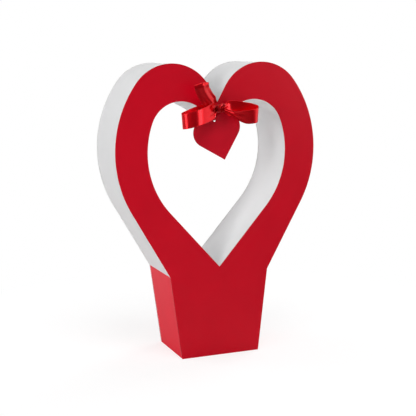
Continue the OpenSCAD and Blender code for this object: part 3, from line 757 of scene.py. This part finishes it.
wire = {
    "radius": 0.4, "bendRadius": 0.9, "rings": 160,
    "plies": 1, "plyRadius": 0.4, "plyOffset": 0.0, "turns": 0,
}
wireLow, wireHigh = heldSpan("bow_wire", wire["radius"])
wirePath = [
    (wireLow.x, wireHigh.y, wireHigh.z), (wireLow.x, wireHigh.y, wireLow.z),
    (wireLow.x, wireLow.y, wireLow.z), (wireHigh.x, wireLow.y, wireLow.z),
    (wireHigh.x, wireHigh.y, wireLow.z), (wireHigh.x, wireHigh.y, wireHigh.z),
]
strandPiece("bowWire", "bow_wire", "box", "wire", wireFinish, wirePath, wire, False)

thread = {
    "radius": 0.45, "saddle": 0.91, "bend": 0.9, "outShare": 0.73, "saddleSteps": 8, "bendSteps": 3,
    "plies": 2, "plyRadius": 0.24, "plyOffset": 0.2, "turns": 15, "rings": 420, "bendRadius": 0.5,
}


# over the wire's left leg, down behind the tag, through its hole and up again in front
def threadPath(values):
    low, high = heldSpan("tag_thread", values["radius"])
    x, top, hole = wireLow.x, wireLow.z, low.z
    saddle, bend = values["saddle"], values["bend"]
    over = [pi * i / values["saddleSteps"] for i in range(values["saddleSteps"] + 1)]
    corner = [pi / 2 * i / values["bendSteps"] for i in range(values["bendSteps"] + 1)]
    points = [(x + saddle * cos(a), high.y, top + saddle * sin(a)) for a in over]
    points += [(x, high.y - bend * (1 - cos(a)), hole + bend * (1 - sin(a))) for a in corner]
    points += [(x, low.y + bend * (1 - sin(a)), hole + bend * (1 - cos(a))) for a in corner]
    return points + [(x, low.y, hole + (top - hole) * values["outShare"])]


strandPiece("tagThread", "tag_thread", "thread", "thread", yarnFinish, threadPath(thread), thread, True)
print("wire and thread made")

# floor, backdrop and lamps
studio = {
    "skyLight": 0.2, "frontGloss": 0.03, "rightGloss": 0.9, "skyFade": (-0.2, 0.3), "floorFade": (-0.1, 0.3),
    "floorSize": 8.0, "floorColor": (0.92, 0.92, 0.92),
    "shadowShare": 0.35, "shadowLift": 0.33, "shadowStart": 0.15, "shadowReach": 0.5,
}
lamps = (  # shine lamps make the highlights on satin and card, fills light what is matte, softboxes do both
    {"name": "leftShine", "rays": "gloss", "power": 14.0,
     "place": (-1.92, -0.34, 0.7), "aim": (0, 0, 0.25), "size": (0.8, 1.5)},
    {"name": "leftFrontShine", "rays": "gloss", "power": 14.5,
     "place": (-1.1, -1.3, 1.7), "aim": (0, 0, 0.2), "size": (1.0, 1.0)},
    {"name": "rightFrontShine", "rays": "gloss", "power": 13.0,
     "place": (1.6, -2.05, 0.9), "aim": (0, 0, 0.3), "size": (0.7, 1.4)},
    {"name": "overheadShine", "rays": "gloss", "power": 8.5,
     "place": (0, -1.2, 2.1), "aim": (0, 0, 0.2), "size": (1.2, 1.2)},
    {"name": "leftHighSoftbox", "rays": "all", "power": 4.5,
     "place": (-1.3, 0.5, 1.7), "aim": (0, 0, 0.2), "size": (1.2, 1.2)},
    {"name": "rightRearSoftbox", "rays": "all", "power": 18.5,
     "place": (1.6, 0.9, 1.2), "aim": (0, 0, 0.2), "size": (1.3, 1.3)},
    {"name": "overheadFill", "rays": "matte", "power": 27.0,
     "place": (0, -1.2, 2.1), "aim": (0, 0, 0.2), "size": (1.2, 1.2)},
    {"name": "leftFrontFill", "rays": "matte", "power": 11.6,
     "place": (-1.62, -0.94, 0.58), "aim": (0, 0, 0.25), "size": (0.7, 0.7)},
    {"name": "leftRearFill", "rays": "matte", "power": 4.4,
     "place": (-1.46, 1.02, 0.9), "aim": (0, 0, 0.25), "size": (0.7, 0.7)},
)


def seenDirectly(tree):  # 1 where the camera, a gloss or a clear surface looks straight at it
    ray = put(tree, "ShaderNodeLightPath").outputs
    return ray["Is Camera Ray"], calc(tree, "MAXIMUM", ray["Is Glossy Ray"], ray["Is Transmission Ray"])


def glossBehind(tree, values, where, fade):  # glosses see white behind the object and a dim room before it
    place = put(tree, "ShaderNodeTexCoord").outputs[where]
    x, y, _ = put(tree, "ShaderNodeSeparateXYZ", {0: place}).outputs
    behind = calc(tree, "ADD", y, calc(tree, "MULTIPLY", x, values["rightGloss"]))
    return mapRange(tree, behind, *fade, values["frontGloss"], 1.0)


def makeWorld(values):  # plain white to look at, soft grey as light
    world = bpy.data.worlds.new("studio")
    bpy.context.scene.world = world
    world.use_nodes = True
    tree = world.node_tree
    tree.nodes.clear()
    camera, gloss = seenDirectly(tree)
    backdrop = glossBehind(tree, values, "Generated", values["skyFade"])
    strength = mapRange(tree, gloss, 0, 1, values["skyLight"], backdrop)
    strength = mapRange(tree, camera, 0, 1, strength, 1.0)
    background = put(tree, "ShaderNodeBackground", {"Color": (1, 1, 1, 1), "Strength": strength})
    tree.links.new(background.outputs[0], tree.nodes.new("ShaderNodeOutputWorld").inputs[0])


def floorMaterial(values):  # white paper that keeps the shadow near the object, plain white further out
    material = bpy.data.materials.new("floorPaper")
    material.use_nodes = True
    tree = material.node_tree
    tree.nodes.clear()
    paper = put(tree, "ShaderNodeBsdfDiffuse", {"Color": (*values["floorColor"], 1)})
    plain = put(tree, "ShaderNodeEmission", {"Color": (1, 1, 1, 1), "Strength": 1.0})
    away = vectorCalc(tree, "LENGTH", put(tree, "ShaderNodeTexCoord").outputs["Object"])
    near = 1 - values["shadowShare"]
    white = mapRange(tree, away, values["shadowStart"], values["shadowReach"], near, 1.0)
    camera, gloss = seenDirectly(tree)
    seen = calc(tree, "MULTIPLY", calc(tree, "MAXIMUM", camera, gloss), white)
    dim = glossBehind(tree, values, "Object", values["floorFade"])
    lift = calc(tree, "MULTIPLY", calc(tree, "SUBTRACT", 1.0, white), values["shadowLift"])
    lifted = calc(tree, "ADD", 1.0, lift)
    tree.links.new(mapRange(tree, camera, 0, 1, dim, lifted), plain.inputs["Strength"])
    both = put(tree, "ShaderNodeMixShader", {0: seen, 1: paper.outputs[0], 2: plain.outputs[0]})
    tree.links.new(both.outputs[0], tree.nodes.new("ShaderNodeOutputMaterial").inputs[0])
    return material


def makeFloor(values):
    half = values["floorSize"] / 2
    mesh = bpy.data.meshes.new("floor")
    corners = [(-half, -half, 0), (half, -half, 0), (half, half, 0), (-half, half, 0)]
    mesh.from_pydata(corners, [], [(0, 1, 2, 3)])
    mesh.materials.append(floorMaterial(values))
    floor = bpy.data.objects.new("floor", mesh)
    bpy.context.scene.collection.objects.link(floor)


def makeLamp(values):
    lamp = bpy.data.lights.new(values["name"], "AREA")
    lamp.shape = "RECTANGLE"
    lamp.size, lamp.size_y = values["size"]
    lamp.energy = values["power"]
    holder = bpy.data.objects.new(values["name"], lamp)
    holder.location = values["place"]
    toObject = Vector(values["aim"]) - Vector(values["place"])
    holder.rotation_euler = toObject.to_track_quat("-Z", "Y").to_euler()
    holder.visible_diffuse = values["rays"] != "gloss"
    holder.visible_glossy = values["rays"] != "matte"
    bpy.context.scene.collection.objects.link(holder)


makeWorld(studio)
makeFloor(studio)
for values in lamps:
    makeLamp(values)
bpy.context.scene.view_settings.view_transform = "Standard"
print("studio lit")
